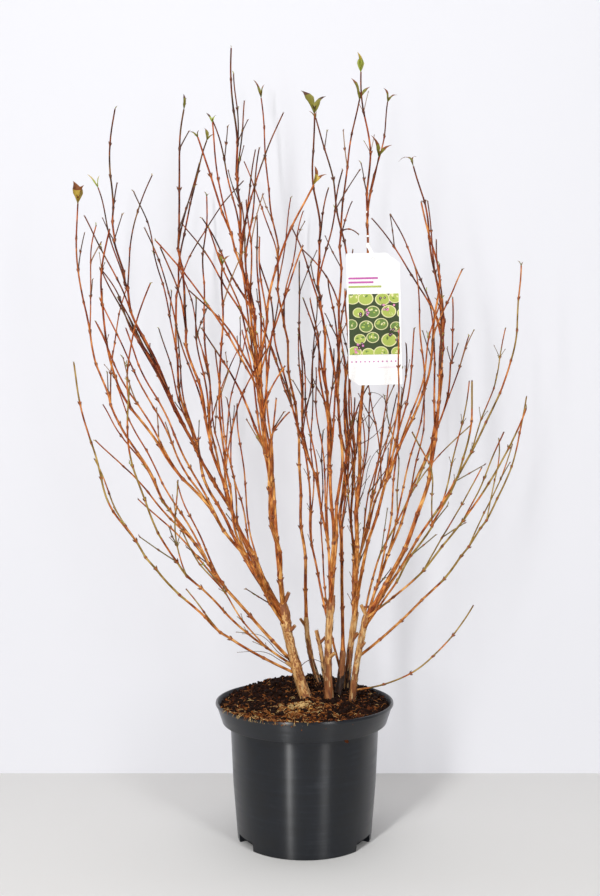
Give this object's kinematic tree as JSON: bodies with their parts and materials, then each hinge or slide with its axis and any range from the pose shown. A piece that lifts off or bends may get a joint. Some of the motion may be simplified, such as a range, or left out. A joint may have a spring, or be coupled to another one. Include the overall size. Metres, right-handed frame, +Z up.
{
  "type": "potted deciduous shrub",
  "caption": "Bare weigela shrub in early spring: short pruned stems, long arching canes with twigs and first leaves, in a round nursery pot with drain notches and a blank hang tag",
  "frame": {"origin": "centre of the pot's flat underside, on the ground", "axes": "+Z up along the shrub's height, -Y towards the side that the hang tag faces, +X to its right"},
  "size_m": [0.8423, 0.63, 1.376],
  "materials": {
    "pot_plastic": "dark slate grey moulded nursery plastic with a soft sheen",
    "soil": "dark brown damp potting compost with bark and coir fibres",
    "old_bark": "straw to tan flaking bark of old pruned stems",
    "cane_bark": "orange-brown smooth young cane bark, redder above",
    "twigs": "thin brown to olive twigs with bud joints and a few yellow-green leaves",
    "tag_card": "white printed plastic card",
    "tag_strap": "white plastic band"
  },
  "bodies": {
    "root": {"pot": "pot_plastic", "potting_soil": "soil", "stem_left": "old_bark", "stem_back": "old_bark", "stem_back_stub": "old_bark", "stem_centre": "old_bark", "stem_dark": "old_bark", "stem_right_back": "old_bark", "stem_right": "old_bark", "bough_crown_top": "cane_bark", "bough_tall_bud": "cane_bark", "bough_back_left_tall": "cane_bark", "bough_far_left_dark": "cane_bark", "bough_left_front_arch": "cane_bark", "bough_left_leafy": "cane_bark", "bough_low_left_long": "cane_bark", "bough_front_fork": "cane_bark", "bough_back_mid_tall": "cane_bark", "bough_front_leaner": "cane_bark", "bough_centre_leafy": "cane_bark", "bough_centre_back": "cane_bark", "bough_behind_tag": "cane_bark", "bough_tag_cane": "cane_bark", "bough_inner_right": "cane_bark", "bough_right_tall": "cane_bark", "bough_far_right": "cane_bark", "bough_right_front": "cane_bark", "bough_right_low": "cane_bark", "twigs_crown_top": "twigs", "twigs_tall_bud": "twigs", "twigs_back_left_tall": "twigs", "twigs_far_left_dark": "twigs", "twigs_left_front_arch": "twigs", "twigs_left_leafy": "twigs", "twigs_low_left_long": "twigs", "twigs_low_left_front": "twigs", "twigs_front_sprout": "twigs", "twigs_front_fork": "twigs", "twigs_back_slender": "twigs", "twigs_back_mid_tall": "twigs", "twigs_thin_dark": "twigs", "twigs_front_leaner": "twigs", "twigs_centre_leafy": "twigs", "twigs_centre_back": "twigs", "twigs_behind_tag": "twigs", "twigs_tag_cane": "twigs", "twigs_inner_right": "twigs", "twigs_right_tall": "twigs", "twigs_far_right": "twigs", "twigs_right_front": "twigs", "twigs_right_low": "twigs", "twigs_front_right_thin": "twigs", "twigs_back_right_thin": "twigs", "twigs_beside_tag": "twigs", "twigs_low_right_shoot": "twigs", "twigs_crossing": "twigs", "twigs_under_tag": "twigs", "twigs_right_companion": "twigs", "hang_tag": "tag_card", "tag_strap": "tag_strap"}
  },
  "joints": []
}
